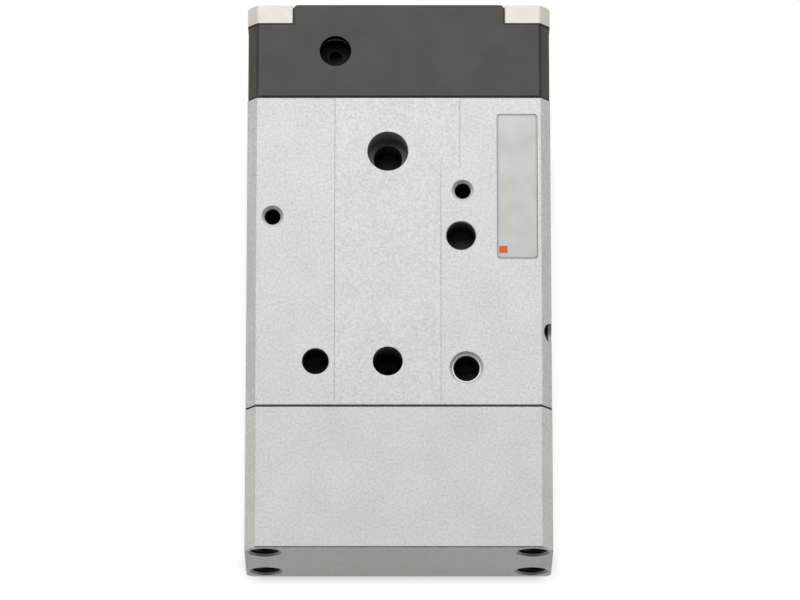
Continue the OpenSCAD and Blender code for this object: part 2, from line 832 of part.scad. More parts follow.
module bridge_retainer() {
    color("silver") difference() {
        along_y(y_retainer, retainer_t) retainer_outline(0);
        for (side = [-1, 1]) {
            rod_y(side * bore_x, bore_z, y_retainer - past, retainer_t + 2 * past, rod_d + 0.6);
            rod_y(side * retainer_screw_x, retainer_screw_z(), y_retainer - past,
                  retainer_t + 2 * past, retainer_screw_d + 0.4);
            translate([side * retainer_screw_x, y_retainer + retainer_t - retainer_head_t - 0.2,
                       retainer_screw_z()])
                rotate([-90, 0, 0])
                    cylinder(d1 = retainer_screw_d + 0.4, d2 = retainer_head_d + 0.6,
                             h = retainer_head_t + 0.3);
        }
    }
}

module retainer_screws() {
    y_head = y_retainer + retainer_t - retainer_head_t - 0.1;
    y_tip = y_retainer - retainer_screw_grip;
    color("dimgray") for (side = [-1, 1]) difference() {
        union() {
            rod_y(side * retainer_screw_x, retainer_screw_z(), y_tip, y_head + 0.5 - y_tip,
                  retainer_screw_d - seat);
            translate([side * retainer_screw_x, y_head, retainer_screw_z()])
                rotate([-90, 0, 0])
                    cylinder(d1 = retainer_screw_d - seat, d2 = retainer_head_d,
                             h = retainer_head_t);
        }
        translate([side * retainer_screw_x, y_head + 0.4, retainer_screw_z()])
            rotate([-90, 0, 0]) cylinder(d = 2, h = retainer_head_t, $fn = 6);
    }
}

module buffer_springs() {
    color("silver") for (side = [-1, 1])
        translate([side * spring_x, y_pocket + 0.1, bore_z]) rotate([-90, 0, 0])
            spring(spring_d, spring_wire, spring_room - 0.2, 4.5);
}

module spring_guides() {
    color("silver") for (side = [-1, 1])
        rod_y(side * spring_x, bore_z, y_pocket - 2 + seat, 6.4, 4.2 - seat);
}

// ---------------------------------------------------------------- rods and pistons

// Rod with a threaded front end in the bridge and a stud through the piston
module rod(side, stud_past) {
    y_tip = y_bridge - nut_t - 1;
    y_shoulder = y_bridge + bridge_t;
    y_stud_end = y_piston + piston_len + stud_past;
    color("silver") {
        rod_y(side * bore_x, bore_z, y_tip, y_shoulder - y_tip + 0.1, rod_d - 1);
        rod_y(side * bore_x, bore_z, y_shoulder, y_piston - y_shoulder, rod_d);
        rod_y(side * bore_x, bore_z, y_piston - 0.1, y_stud_end - y_piston + 0.1, stud_d);
    }
}

module left_rod() { rod(-1, 3); }
module right_rod() { rod(1, 2.6); }

// Piston with a seal groove and a magnet groove
module piston(side) {
    r = (bore_d - run_fit) / 2;
    stud_r = stud_d / 2 + seat / 2;
    bevel = 0.5;
    seal_r = r - seal_depth;
    magnet_r = r - magnet_depth;
    color("tan") turned_y(side * bore_x, bore_z, y_piston, [
        [stud_r, 0], [r - bevel, 0], [r, bevel], [r, seal_at], [seal_r, seal_at],
        [seal_r, seal_at + seal_t], [r, seal_at + seal_t], [r, magnet_at],
        [magnet_r, magnet_at], [magnet_r, magnet_at + magnet_t], [r, magnet_at + magnet_t],
        [r, piston_len - bevel],
        [r - bevel, piston_len], [stud_r, piston_len]
    ]);
}

module left_piston() { piston(-1); }
module right_piston() { piston(1); }

module piston_seals() {
    r = (bore_d - run_fit) / 2;
    inner = r - seal_depth + seat;
    t = seal_t - 0.1;
    color("black") for (side = [-1, 1])
        turned_y(side * bore_x, bore_z, y_piston + seal_at + seat, [
            [inner, 0], [r - 0.6, 0], [r, t * 0.24], [r, t * 0.38], [r - 0.5, t * 0.5],
            [r, t * 0.62], [r, t * 0.76], [r - 0.6, t], [inner, t]
        ]);
}

module piston_magnets() {
    r = (bore_d - run_fit) / 2;
    color("gray") for (side = [-1, 1])
        ring_y(side * bore_x, bore_z, y_piston + magnet_at + seat, magnet_t - 2 * seat,
               2 * r - 0.3, 2 * (r - magnet_depth) + seat);
}

module piston_nut() {
    color("silver")
        hex_nut_y(bore_x, bore_z, y_piston + piston_len + seat, piston_nut_t, stud_d + 3,
                  stud_d + seat);
}

// Lock tail behind the left piston: a shank, a neck for the pin and an end collar
module lock_tail() {
    y0 = y_piston + piston_len + seat;
    shank_r = 3;
    y_neck = lock_y - lock_stem_d / 2 - 1.3;
    color("silver") difference() {
        turned_y(-bore_x, bore_z, y0, [
            [0, 0], [4, 0], [4, 3.5], [shank_r, 4.5], [shank_r, y_neck - y0 - 1],
            [tail_neck_d / 2, y_neck - y0], [tail_neck_d / 2, y_tail_collar - y0],
            [tail_collar_d / 2, y_tail_collar - y0],
            [tail_collar_d / 2, y_tail_end - y0 - 0.5], [tail_collar_d / 2 - 0.5, y_tail_end - y0],
            [0, y_tail_end - y0]
        ]);
        rod_y(-bore_x, bore_z, y0 - past, 3.2 + past, stud_d + seat);
    }
}

// Bar that joins the two rods in the front block
module rod_bridge() {
    color("slategray") difference() {
        along_y(y_bridge, bridge_t) bridge_outline(bridge_r);
        for (side = [-1, 1])
            rod_y(side * bore_x, bore_z, y_bridge - past, bridge_t + 2 * past, rod_d - 1 + seat);
    }
}

module rod_nuts() {
    color("silver") for (side = [-1, 1])
        hex_nut_y(side * bore_x, bore_z, y_bridge - nut_t - seat, nut_t, nut_af,
                  rod_d - 1 + seat);
}

// ---------------------------------------------------------------- roller cages

function roller_y(i) = y_cage + (cage_len - (roller_count - 1) * roller_pitch) / 2
    + i * roller_pitch;

// One roller: neighbours lean opposite ways
module roller(side, i, d, len) {
    lean = i % 2 == 0 ? 45 : -45;
    translate([side * roller_x, roller_y(i), roller_z]) rotate([0, lean, 0])
        cylinder(d = d, h = len, center = true);
}

module cage(side) {
    color("goldenrod") difference() {
        translate([side * roller_x - cage_t / 2, y_cage, roller_z - cage_h / 2])
            cube([cage_t, cage_len, cage_h]);
        for (i = [0:roller_count - 1]) roller(side, i, roller_d + run_fit, roller_len + run_fit);
    }
}

module rollers(side) {
    color("silver") for (i = [0:roller_count - 1]) roller(side, i, roller_d, roller_len);
}

module left_cage() { cage(-1); }
module right_cage() { cage(1); }
module left_rollers() { rollers(-1); }
module right_rollers() { rollers(1); }

// ---------------------------------------------------------------- end lock

// Pin with a grooved head, drawn back out of the neck of the tail
module lock_pin() {
    head_r = lock_head_d / 2;
    stem_r = lock_stem_d / 2;
    z0 = lock_tip_z;
    head = lock_head_z - z0;
    color("silver") difference() {
        translate([-bore_x, lock_y, z0]) rotate_extrude() polygon([
            [0, 0], [stem_r - 0.3, 0], [stem_r, 0.3], [stem_r, head], [head_r, head],
            [head_r, head + 0.4], [head_r - 0.9, head + 0.4], [head_r - 0.9, head + 1.5],
            [head_r, head + 1.5], [head_r, head + lock_head_t], [0, head + lock_head_t]
        ]);
        rod_z(-bore_x, lock_y, lock_head_z, lock_head_t + past, 2.5);
    }
}

module lock_pin_seal() {
    color("black") translate([-bore_x, lock_y, lock_head_z + 0.95])
        rotate_extrude() translate([lock_head_d / 2 - 0.45, 0]) circle(d = 0.9, $fn = 24);
}

module lock_spring() {
    z0 = lock_head_z + lock_head_t + 0.05;
    color("silver") translate([-bore_x, lock_y, z0])
        spring(release_hole_d + 1.6, 0.45, cover_top - release_t - z0 - 0.05, 3.5);
}

body();
gasket();
rear_cover();
left_clamp_bar();
right_clamp_bar();
clamp_screws();
left_rod_cover();
right_rod_cover();
rod_seals();
rod_cover_rings();
snap_rings();
front_bumpers();
rear_bumpers();
left_head_cap();
right_head_cap();
head_cap_rings();
guide_rail();
rail_screws();
rail_end_plates();
port_plugs();
name_plate();
lock_bush();
table();
front_block();
block_screws();
bridge_retainer();
retainer_screws();
buffer_springs();
spring_guides();
left_rod();
right_rod();
left_piston();
right_piston();
piston_seals();
piston_magnets();
piston_nut();
lock_tail();
rod_bridge();
rod_nuts();
left_cage();
left_rollers();
right_cage();
right_rollers();
lock_pin();
lock_pin_seal();
lock_spring();
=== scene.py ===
import math

import bmesh
import bpy
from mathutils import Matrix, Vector


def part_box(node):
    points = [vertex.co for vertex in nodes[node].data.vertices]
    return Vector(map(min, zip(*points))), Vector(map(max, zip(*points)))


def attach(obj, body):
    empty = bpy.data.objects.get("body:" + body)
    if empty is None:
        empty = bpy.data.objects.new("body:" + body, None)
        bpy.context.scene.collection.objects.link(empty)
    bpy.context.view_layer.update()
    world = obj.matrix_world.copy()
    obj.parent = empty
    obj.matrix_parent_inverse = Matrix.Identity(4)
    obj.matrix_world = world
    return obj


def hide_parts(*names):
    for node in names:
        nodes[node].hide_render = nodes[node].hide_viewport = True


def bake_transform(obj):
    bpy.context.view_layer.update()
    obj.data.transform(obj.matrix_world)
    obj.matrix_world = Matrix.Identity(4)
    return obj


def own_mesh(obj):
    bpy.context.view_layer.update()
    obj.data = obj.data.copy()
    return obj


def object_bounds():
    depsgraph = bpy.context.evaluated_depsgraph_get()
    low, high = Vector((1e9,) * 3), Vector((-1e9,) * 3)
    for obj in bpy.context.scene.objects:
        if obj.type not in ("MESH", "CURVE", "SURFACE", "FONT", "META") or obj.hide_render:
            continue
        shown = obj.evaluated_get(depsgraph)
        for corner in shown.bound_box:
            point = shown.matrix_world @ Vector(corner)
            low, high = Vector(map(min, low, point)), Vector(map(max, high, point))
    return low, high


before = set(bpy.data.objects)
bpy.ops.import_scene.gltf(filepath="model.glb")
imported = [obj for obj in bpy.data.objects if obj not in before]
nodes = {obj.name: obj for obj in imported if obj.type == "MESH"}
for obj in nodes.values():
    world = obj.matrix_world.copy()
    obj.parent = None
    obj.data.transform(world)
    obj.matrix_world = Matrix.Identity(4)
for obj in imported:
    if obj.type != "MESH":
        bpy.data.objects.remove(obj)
cad_box = [list(corner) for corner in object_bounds()]

# Stand and light. The unit lies table down on a plain white card, seen nearly straight
# from above and a little from its front, under one large soft lamp that hangs behind it.
MM = 0.001
unit_low, unit_high = (Vector(corner) for corner in cad_box)
view_tilt = math.radians(16)
view_reach = 1285.8 * MM
view_target = Vector((0.24 * MM, -5.81 * MM, unit_high.z))
view_back = Vector((0, -math.sin(view_tilt), math.cos(view_tilt)))
camera = bpy.data.objects.new("camera", bpy.data.cameras.new("camera"))
bpy.context.collection.objects.link(camera)
camera.data.sensor_width = 36
camera.data.lens = 285.4
camera.data.clip_start, camera.data.clip_end = 0.01, 20
camera.location = view_target + view_reach * view_back
camera.rotation_euler = (view_tilt, 0, 0)
bpy.context.scene.camera = camera
bpy.context.scene.view_settings.view_transform = "Standard"


def new_sheet(name, half_width, height):
    """Flat square sheet, a stage and not part of the unit."""
    mesh = bpy.data.meshes.new(name)
    corners = [(-1, -1), (1, -1), (1, 1), (-1, 1)]
    mesh.from_pydata([(x * half_width, y * half_width, height) for x, y in corners], [],
                     [(0, 1, 2, 3)])
    sheet = bpy.data.objects.new(name, mesh)
    bpy.context.collection.objects.link(sheet)
    return sheet


def combine(finish, how, first, second):
    """One value from two, or from a value and a number."""
    node = finish.node_tree.nodes.new("ShaderNodeMath")
    node.operation = how
    for socket, value in zip(node.inputs, (first, second)):
        if isinstance(value, (int, float)):
            socket.default_value = value
        else:
            finish.node_tree.links.new(value, socket)
    return node.outputs[0]


def spread(finish, source, low, high, start=0.3, stop=0.7):
    """The source's run from start to stop, laid out from low to high."""
    ramp = finish.node_tree.nodes.new("ShaderNodeMapRange")
    finish.node_tree.links.new(source, ramp.inputs["Value"])
    for socket, value in (("From Min", start), ("From Max", stop), ("To Min", low),
                          ("To Max", high)):
        ramp.inputs[socket].default_value = value
    return ramp.outputs["Result"]


def card_finish(sheet, own_light, contact_reach, beside):
    """White card: it reads as white past the unit's foot, and its glow carries a painted
    contact shadow round the foot, whole before and behind the unit and only that share of it
    beside it."""
    finish = bpy.data.materials.new("white_card")
    finish.use_nodes = True
    finish.node_tree.nodes.clear()
    make, join = finish.node_tree.nodes.new, finish.node_tree.links.new
    card, glow, mix = (make("ShaderNodeBsdfDiffuse"), make("ShaderNodeEmission"),
                       make("ShaderNodeMixShader"))
    card.inputs["Color"].default_value = (0.92, 0.92, 0.92, 1)
    path = make("ShaderNodeLightPath").outputs
    seen = combine(finish, "ADD", combine(finish, "ADD", path["Is Camera Ray"],
                                          path["Is Glossy Ray"]), path["Is Transmission Ray"])
    # Painted contact shadow: the glow darkens where little open air is left near the foot.
    open_air = make("ShaderNodeAmbientOcclusion")
    open_air.inputs["Distance"].default_value = contact_reach
    contact_depth = 1.5
    open_share = combine(finish, "POWER", open_air.outputs["AO"], contact_depth)
    place, parts = make("ShaderNodeNewGeometry"), make("ShaderNodeSeparateXYZ")
    join(place.outputs["Position"], parts.inputs[0])
    share = spread(finish, combine(finish, "ABSOLUTE", parts.outputs["Y"], 0), beside, 1,
                   start=unit_high.y - 8.5 * MM, stop=unit_high.y - 5.5 * MM)
    shade = combine(finish, "MULTIPLY", combine(finish, "SUBTRACT", 1, open_share), share)
    join(combine(finish, "SUBTRACT", 1, shade), glow.inputs["Color"])
    join(combine(finish, "MULTIPLY", combine(finish, "MINIMUM", seen, 1), own_light),
         mix.inputs[0])
    join(card.outputs[0], mix.inputs[1])
    join(glow.outputs[0], mix.inputs[2])
    join(mix.outputs[0], make("ShaderNodeOutputMaterial").inputs["Surface"])
    sheet.data.materials.append(finish)


white_card = new_sheet("white_card", half_width=4, height=unit_low.z - 0.05 * MM)
card_finish(white_card, own_light=0.98, contact_reach=3.4 * MM, beside=0.3)

lamp = bpy.data.objects.new("overhead_lamp", bpy.data.lights.new("overhead_lamp", "AREA"))
bpy.context.collection.objects.link(lamp)
lamp.data.shape = "RECTANGLE"
lamp.data.size, lamp.data.size_y = 1.6, 0.7
lamp.data.energy = 8.1
lamp.location = (-0.03, 0.42, 0.58)
lamp.rotation_euler = (view_target - lamp.location).to_track_quat("-Z", "Y").to_euler()
lamp.visible_camera = False

room = bpy.data.worlds.new("room")
bpy.context.scene.world = room
room.use_nodes = True
room.node_tree.nodes["Background"].inputs["Color"].default_value = (1, 1, 1, 1)
room.node_tree.nodes["Background"].inputs["Strength"].default_value = 0.1

# Cylinder body. One block of drawn aluminium, milled all over, bead blasted and clear
# anodised. The blasting leaves an even fine grain, and the sides and long chamfers keep
# faint lines of the drawing under it and are painted a shade darker. The mounting face
# carries a shallow milled band.
body_low, body_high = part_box("body")


def new_finish(name, colour, metallic, roughness, **plain):
    """Surface with the values that are the same all over; the calls below vary the rest."""
    finish = bpy.data.materials.new(name)
    finish.use_nodes = True
    shader = finish.node_tree.nodes["Principled BSDF"]
    shader.inputs["Base Color"].default_value = (*colour, 1)
    shader.inputs["Metallic"].default_value = metallic
    shader.inputs["Roughness"].default_value = roughness
    for socket, value in plain.items():
        shader.inputs[socket.replace("_", " ")].default_value = value
    return finish


def grain(finish, size, stretch=(1, 1, 1), detail=2.0, seed=0.0):
    """Uneven spots of that size, pulled out along an axis by its stretch."""
    make, join = finish.node_tree.nodes.new, finish.node_tree.links.new
    place = make("ShaderNodeTexCoord")
    scale = make("ShaderNodeMapping")
    scale.inputs["Scale"].default_value = [1 / (size * times) for times in stretch]
    scale.inputs["Location"].default_value = (seed, 2 * seed, 3 * seed)
    spots = make("ShaderNodeTexNoise")
    spots.inputs["Scale"].default_value = 1
    spots.inputs["Detail"].default_value = detail
    join(place.outputs["Object"], scale.inputs["Vector"])
    join(scale.outputs["Vector"], spots.inputs["Vector"])
    return spots.outputs["Fac"]


def facing(finish, axis):
    """How squarely the surface faces along an axis of the unit, from 0 to 1."""
    make, join = finish.node_tree.nodes.new, finish.node_tree.links.new
    place, parts = make("ShaderNodeTexCoord"), make("ShaderNodeSeparateXYZ")
    join(place.outputs["Normal"], parts.inputs[0])
    return combine(finish, "ABSOLUTE", parts.outputs[axis], 0)


def tone(finish, source, dark, light):
    """Base colour from dark to light as the source goes from 0 to 1."""
    mix = finish.node_tree.nodes.new("ShaderNodeMix")
    mix.data_type = "RGBA"
    finish.node_tree.links.new(source, mix.inputs["Factor"])
    mix.clamp_factor = False
    mix.inputs["A"].default_value, mix.inputs["B"].default_value = (*dark, 1), (*light, 1)
    shader = finish.node_tree.nodes["Principled BSDF"]
    finish.node_tree.links.new(mix.outputs["Result"], shader.inputs["Base Color"])


def rough(finish, source, low, high):
    """Roughness from low to high with the source."""
    shader = finish.node_tree.nodes["Principled BSDF"]
    finish.node_tree.links.new(spread(finish, source, low, high), shader.inputs["Roughness"])


def relief(finish, source, depth, edge=0.12 * MM):
    """Pits and ridges of that depth, and edges that are rounded by a hair."""
    make, join = finish.node_tree.nodes.new, finish.node_tree.links.new
    bump, soft = make("ShaderNodeBump"), make("ShaderNodeBevel")
    bump.inputs["Distance"].default_value = depth
    soft.samples = 4
    soft.inputs["Radius"].default_value = edge
    join(source, bump.inputs["Height"])
    join(soft.outputs["Normal"], bump.inputs["Normal"])
    join(bump.outputs["Normal"], finish.node_tree.nodes["Principled BSDF"].inputs["Normal"])


def painted_hollow_shade(finish, deep):
    """Turns the base colour to a deep one down in holes and joints: painted shade there."""
    make, join = finish.node_tree.nodes.new, finish.node_tree.links.new
    shader = finish.node_tree.nodes["Principled BSDF"]
    open_air, mix = make("ShaderNodeAmbientOcclusion"), make("ShaderNodeMix")
    open_air.samples = 16
    open_air.inputs["Distance"].default_value = 8 * MM
    mix.data_type = "RGBA"
    join(spread(finish, open_air.outputs["AO"], 0, 1, start=0.1, stop=0.88),
         mix.inputs["Factor"])
    mix.inputs["A"].default_value = (*deep, 1)
    join(shader.inputs["Base Color"].links[0].from_socket, mix.inputs["B"])
    join(mix.outputs["Result"], shader.inputs["Base Color"])


def blasted_anodise(name, dark, light, metallic, roughness, pit, side_shade=0.0):
    """Blasted, clear anodised aluminium; the last argument is how much painted shade darkens
    its sides.
    """
    finish = new_finish(name, light, metallic, roughness, Specular_IOR_Level=0.3)
    fine = grain(finish, 0.5 * MM, detail=3)
    cloud = grain(finish, 9 * MM, detail=2, seed=3.1)
    lines = grain(finish, 0.25 * MM, stretch=(1, 60, 1), detail=1, seed=7.7)
    side = spread(finish, facing(finish, "X"), 0, 1, start=0.4, stop=0.8)
    contrast, line_depth = 0.18, 1.5
    # Painted shade: this offset makes the sides and long chamfers darker, beside their faint
    # drawn lines.
    side_lines_and_shade = combine(finish, "MULTIPLY", side,
                         spread(finish, lines, -contrast - side_shade, contrast - side_shade))
    spots = combine(finish, "ADD", spread(finish, fine, -0.2, 0.9),
                    spread(finish, cloud, 0, 0.3))
    tone(finish, combine(finish, "ADD", spots, side_lines_and_shade), dark, light)
    # Painted shade: darker down in holes and joints.
    painted_hollow_shade(finish, (0.05, 0.05, 0.05))
    rough(finish, fine, roughness + 0.05, roughness - 0.05)
    deep_lines = combine(finish, "MULTIPLY", side_lines_and_shade, line_depth)
    relief(finish, combine(finish, "ADD", fine, deep_lines), pit, edge=0.04 * MM)
    return finish


def dress(finish, *names):
    """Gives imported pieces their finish."""
    for name in names:
        for place in nodes[name].material_slots:
            place.material = finish


body_finish = blasted_anodise("body_anodise", dark=(0.67, 0.67, 0.675),
                              light=(0.81, 0.81, 0.815), metallic=0.2, roughness=0.5,
                              pit=0.012 * MM, side_shade=0.38)
dress(body_finish, "body")

# Threads. The fixing holes, the front face, the payload face and the air ports are tapped
# after the anodising. Each is made here as the skin of its hole, near black to paint the
# shade down in it: a cup with a drill-point floor, its ridge running out at both ends.
# Near black: painted shade down in the holes.
thread_painted_shade = new_finish("thread_painted_shade", (0.03, 0.03, 0.031), metallic=0.5, roughness=0.42)
thread_shade_grain = grain(thread_painted_shade, 0.2 * MM)
tone(thread_painted_shade, spread(thread_painted_shade, thread_shade_grain, 0, 1), (0.020, 0.020, 0.021),
     (0.050, 0.050, 0.050))
rough(thread_painted_shade, thread_shade_grain, 0.5, 0.34)


def turned_ring(bm, mouth, into, radius, depth, steps):
    """Circle of corner points round a hole, at a depth below its mouth."""
    across = into.orthogonal().normalized()
    beside = into.cross(across)
    turns = [2 * math.pi * i / steps for i in range(steps)]
    return [bm.verts.new(mouth + into * depth + radius *
                         (across * math.cos(t) + beside * math.sin(t))) for t in turns]


def skin_between(bm, here, there):
    """Faces from one closed row of corner points to the next one."""
    for i in range(len(here)):
        j = (i + 1) % len(here)
        bm.faces.new((here[i], here[j], there[j], there[i]))


def thread_skin(bm, mouth, into, start, stop, bore, pitch, rise):
    """Cup from start to stop below the mouth, with the ridge of the thread inside it."""
    steps, wall = 32, 0.03 * MM
    point, tip = 0.3 * bore, 0.12 * bore
    inside = [turned_ring(bm, mouth, into, *place, steps)
              for place in ((bore - wall, start), (bore - wall, stop - point),
                            (tip, stop - wall))]
    outside = [turned_ring(bm, mouth, into, *place, steps)
               for place in ((tip, stop), (bore, stop), (bore, start))]
    bm.faces.new(inside[-1])
    bm.faces.new(reversed(outside[0]))
    for run in (inside, outside, [outside[-1], inside[0]]):
        for here, there in zip(run, run[1:]):
            skin_between(bm, here, there)
    across = into.orthogonal().normalized()
    beside = into.cross(across)
    deep = stop - point - start
    foot, crest = 0.42, 0.06
    ridge = []
    count = int(deep / pitch * steps)
    for i in range(count + 1):
        turn = 2 * math.pi * i / steps
        out = across * math.cos(turn) + beside * math.sin(turn)
        high = rise * min(1, 2 * i / steps, 2 * (count - i) / steps)
        depth = start + pitch * (0.5 + i / steps) * (deep - pitch) / deep
        section = ((-foot, 0), (-crest, high), (crest, high), (foot, 0))
        ridge.append([bm.verts.new(mouth + into * (depth + shift * pitch) +
                                   out * (bore - wall / 2 - height))
                      for shift, height in section])
    for here, there in zip(ridge, ridge[1:]):
        skin_between(bm, here, there)
    bm.faces.new(reversed(ridge[0]))
    bm.faces.new(ridge[-1])


def new_piece(name, body, finish, build):
    """Piece of its own mesh, which build fills in, riding on that body if there is one."""
    mesh = bpy.data.meshes.new(name)
    bm = bmesh.new()
    build(bm)
    bmesh.ops.recalc_face_normals(bm, faces=bm.faces)
    bm.to_mesh(mesh)
    bm.free()
    mesh.shade_smooth()
    mesh.set_sharp_from_angle(angle=math.radians(35))
    piece = bpy.data.objects.new(name, mesh)
    bpy.context.collection.objects.link(piece)
    mesh.materials.append(finish)
    if body:
        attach(piece, body)
    return piece


m6_fixing = {"bore": 2.62 * MM, "pitch": 1.0 * MM, "rise": 0.2 * MM}
m4_fixing = {"bore": 1.62 * MM, "pitch": 0.7 * MM, "rise": 0.14 * MM}
left_m6, right_m6 = (Vector((x * MM, body_low.y + along * MM, body_high.z))
                     for x, along in ((-16.86, 9.16), (13.7, 7.8)))
right_m4, left_m4 = (Vector((x * MM, body_low.y + along * MM, body_high.z))
                     for x, along in ((13.0, 45.3), (-25.7, 39.8)))


def fixing_threads(bm):
    for mouth, size in ((left_m6, m6_fixing), (right_m6, m6_fixing), (right_m4, m4_fixing),
                        (left_m4, m4_fixing)):
        thread_skin(bm, mouth, Vector((0, 0, -1)), start=0.9 * MM, stop=7.9 * MM, **size)


new_piece("fixing_threads", "cylinder", thread_painted_shade, fixing_threads)

cut_edge = new_finish("cut_edge", (0.90, 0.90, 0.895), metallic=0.2, roughness=0.4)
tone(cut_edge, grain(cut_edge, 0.2 * MM), (0.86, 0.86, 0.855), (0.96, 0.96, 0.955))


def rim(bm, mouth, into, profile):
    """Ring round a hole's mouth, its closed profile given by radius and depth."""
    steps = 64
    rings = [turned_ring(bm, mouth, into, radius * MM, depth * MM, steps)
             for radius, depth in profile]
    for here, there in zip(rings, rings[1:] + rings[:1]):
        skin_between(bm, here, there)


def fixing_rim(bm):
    """Bare edge that the last countersink leaves where the thread of one hole begins."""
    rim(bm, right_m6, Vector((0, 0, -1)),
        profile=((2.69, 0.70), (2.71, 0.52), (2.93, 0.42), (2.96, 0.62)))


new_piece("fixing_rim", "cylinder", cut_edge, fixing_rim)

front_port = Vector((body_high.x, body_low.y + 15.6 * MM, body_high.z - 2.7 * MM))
rear_port = Vector((body_high.x, body_low.y + 54.5 * MM, body_high.z - 10.0 * MM))


def port_threads(bm):
    for mouth in (front_port, rear_port):
        thread_skin(bm, mouth, Vector((-1, 0, 0)), start=1.9 * MM, stop=5.95 * MM,
                    bore=2.08 * MM, pitch=0.8 * MM, rise=0.16 * MM)


new_piece("port_threads", "cylinder", thread_painted_shade, port_threads)


def lower_sleeve(bm, mouth, near, far):
    """Lower half of a thin sleeve in a port, from one depth to another."""
    steps, outer, wall = 32, 2.09, 0.04
    rows = []
    for i in range(steps + 1):
        t = math.pi * (1 + i / steps)
        rows.append([bm.verts.new(mouth + MM * Vector((-depth, radius * math.cos(t),
                                                       radius * math.sin(t))))
                     for radius, depth in ((outer, near), (outer - wall, near),
                                           (outer - wall, far), (outer, far))])
    for here, there in zip(rows, rows[1:]):
        skin_between(bm, here, there)
    bm.faces.new(rows[0])
    bm.faces.new(reversed(rows[-1]))


def port_lip(bm):
    """Bare mouth of the front port, which is bored last, through the chamfer."""
    lower_sleeve(bm, front_port, near=0.02, far=0.70)


def port_run(bm):
    """Lower half-sleeve where its thread begins, below the chamfer, near black to paint the
    shade there.
    """
    lower_sleeve(bm, front_port, near=0.72, far=1.88)


dull_cut = new_finish("dull_cut", (0.62, 0.62, 0.61), metallic=0.2, roughness=0.45)
tone(dull_cut, grain(dull_cut, 0.2 * MM), (0.56, 0.56, 0.55), (0.68, 0.68, 0.67))
new_piece("port_lip", "cylinder", dull_cut, port_lip)
new_piece("port_run", "cylinder", thread_painted_shade, port_run)

# Plugs, screws and snap rings, all of blackened steel. The two ports of the far side are
# closed by socket plugs, screwed in flush with a thread sealant round them.
steel_black = new_finish("blackened_steel", (0.035, 0.035, 0.037), metallic=0.8,
                         roughness=0.36)
black_grain = grain(steel_black, 0.25 * MM, detail=3)
black_wear = grain(steel_black, 1.6 * MM, detail=4, seed=4.2)
tone(steel_black, spread(steel_black, black_wear, 0, 1, start=0.35, stop=0.75),
     (0.030, 0.030, 0.032), (0.075, 0.073, 0.070))
rough(steel_black, black_grain, 0.42, 0.28)
# Painted shade: darker down in holes and joints.
painted_hollow_shade(steel_black, (0.006, 0.006, 0.006))
relief(steel_black, black_grain, 0.004 * MM)
dress(steel_black, "port_plugs", "rail_screws", "block_screws", "clamp_screws",
      "retainer_screws", "snap_rings")

# Name plate. A bare silver foil in a shallow recess, its border pressed in and one corner
# printed with a plain colour chip.
foil = new_finish("silver_foil", (0.66, 0.66, 0.65), metallic=0.25, roughness=0.38)
foil_grain = grain(foil, 0.5 * MM, detail=2)
foil_cloud = grain(foil, 5 * MM, detail=2, seed=2.0)


def mingle(finish, broad, fine, broad_share):
    """Broad and fine unevenness together, the broad one with that share."""
    return combine(finish, "ADD", spread(finish, broad, 0, broad_share),
                   spread(finish, fine, 0, 1 - broad_share))


tone(foil, mingle(foil, foil_cloud, foil_grain, broad_share=0.7), (0.50, 0.50, 0.495),
     (0.57, 0.57, 0.56))
rough(foil, foil_cloud, 0.42, 0.34)
relief(foil, foil_grain, 0.003 * MM)
dress(foil, "name_plate")
plate_low, plate_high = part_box("name_plate")
print_grey = new_finish("border_print", (0.46, 0.46, 0.45), metallic=0.1, roughness=0.5)
tone(print_grey, grain(print_grey, 0.4 * MM), (0.40, 0.40, 0.39), (0.52, 0.52, 0.51))
chip_orange = new_finish("orange_print", (0.88, 0.13, 0.02), metallic=0.0, roughness=0.45,
                         Specular_IOR_Level=0.25)
tone(chip_orange, grain(chip_orange, 0.3 * MM), (0.84, 0.10, 0.010), (0.94, 0.17, 0.025))
print_bottom, print_top = plate_high.z - 0.01 * MM, plate_high.z + 0.012 * MM


def rounded_outline(low, high, radius):
    """Corner points of a rounded rectangle, anticlockwise."""
    steps = 6
    left, right = low.x + radius, high.x - radius
    front, rear = low.y + radius, high.y - radius
    centres = ((right, rear, 0), (left, rear, 90), (left, front, 180), (right, front, 270))
    return [(x + radius * math.cos(math.radians(a + 90 * i / steps)),
             y + radius * math.sin(math.radians(a + 90 * i / steps)))
            for x, y, a in centres for i in range(steps + 1)]


def printed(bm, outline, hole=None):
    """Layer of print of that outline, with a hole of as many points if there is one."""
    low = [bm.verts.new((x, y, print_bottom)) for x, y in outline]
    high = [bm.verts.new((x, y, print_top)) for x, y in outline]
    rings = [low, high]
    if hole:
        rings += [[bm.verts.new((x, y, z)) for x, y in hole]
                  for z in (print_top, print_bottom)]
        rings.append(low)
    else:
        bm.faces.new(reversed(low))
        bm.faces.new(high)
    for here, there in zip(rings, rings[1:]):
        skin_between(bm, here, there)


def plate_border(bm):
    edge, line = Vector((0.12, 0.12, 0)) * MM, Vector((0.16, 0.16, 0)) * MM
    printed(bm, rounded_outline(plate_low + edge, plate_high - edge, 0.62 * MM),
            rounded_outline(plate_low + edge + line, plate_high - edge - line, 0.46 * MM))


def plate_chip(bm):
    low = Vector((plate_low.x + 0.3 * MM, plate_low.y + 1.1 * MM, 0))
    printed(bm, rounded_outline(low, low + Vector((1.7, 1.5, 0)) * MM, 0.1 * MM))


new_piece("plate_border", "cylinder", print_grey, plate_border)
new_piece("plate_chip", "cylinder", chip_orange, plate_chip)

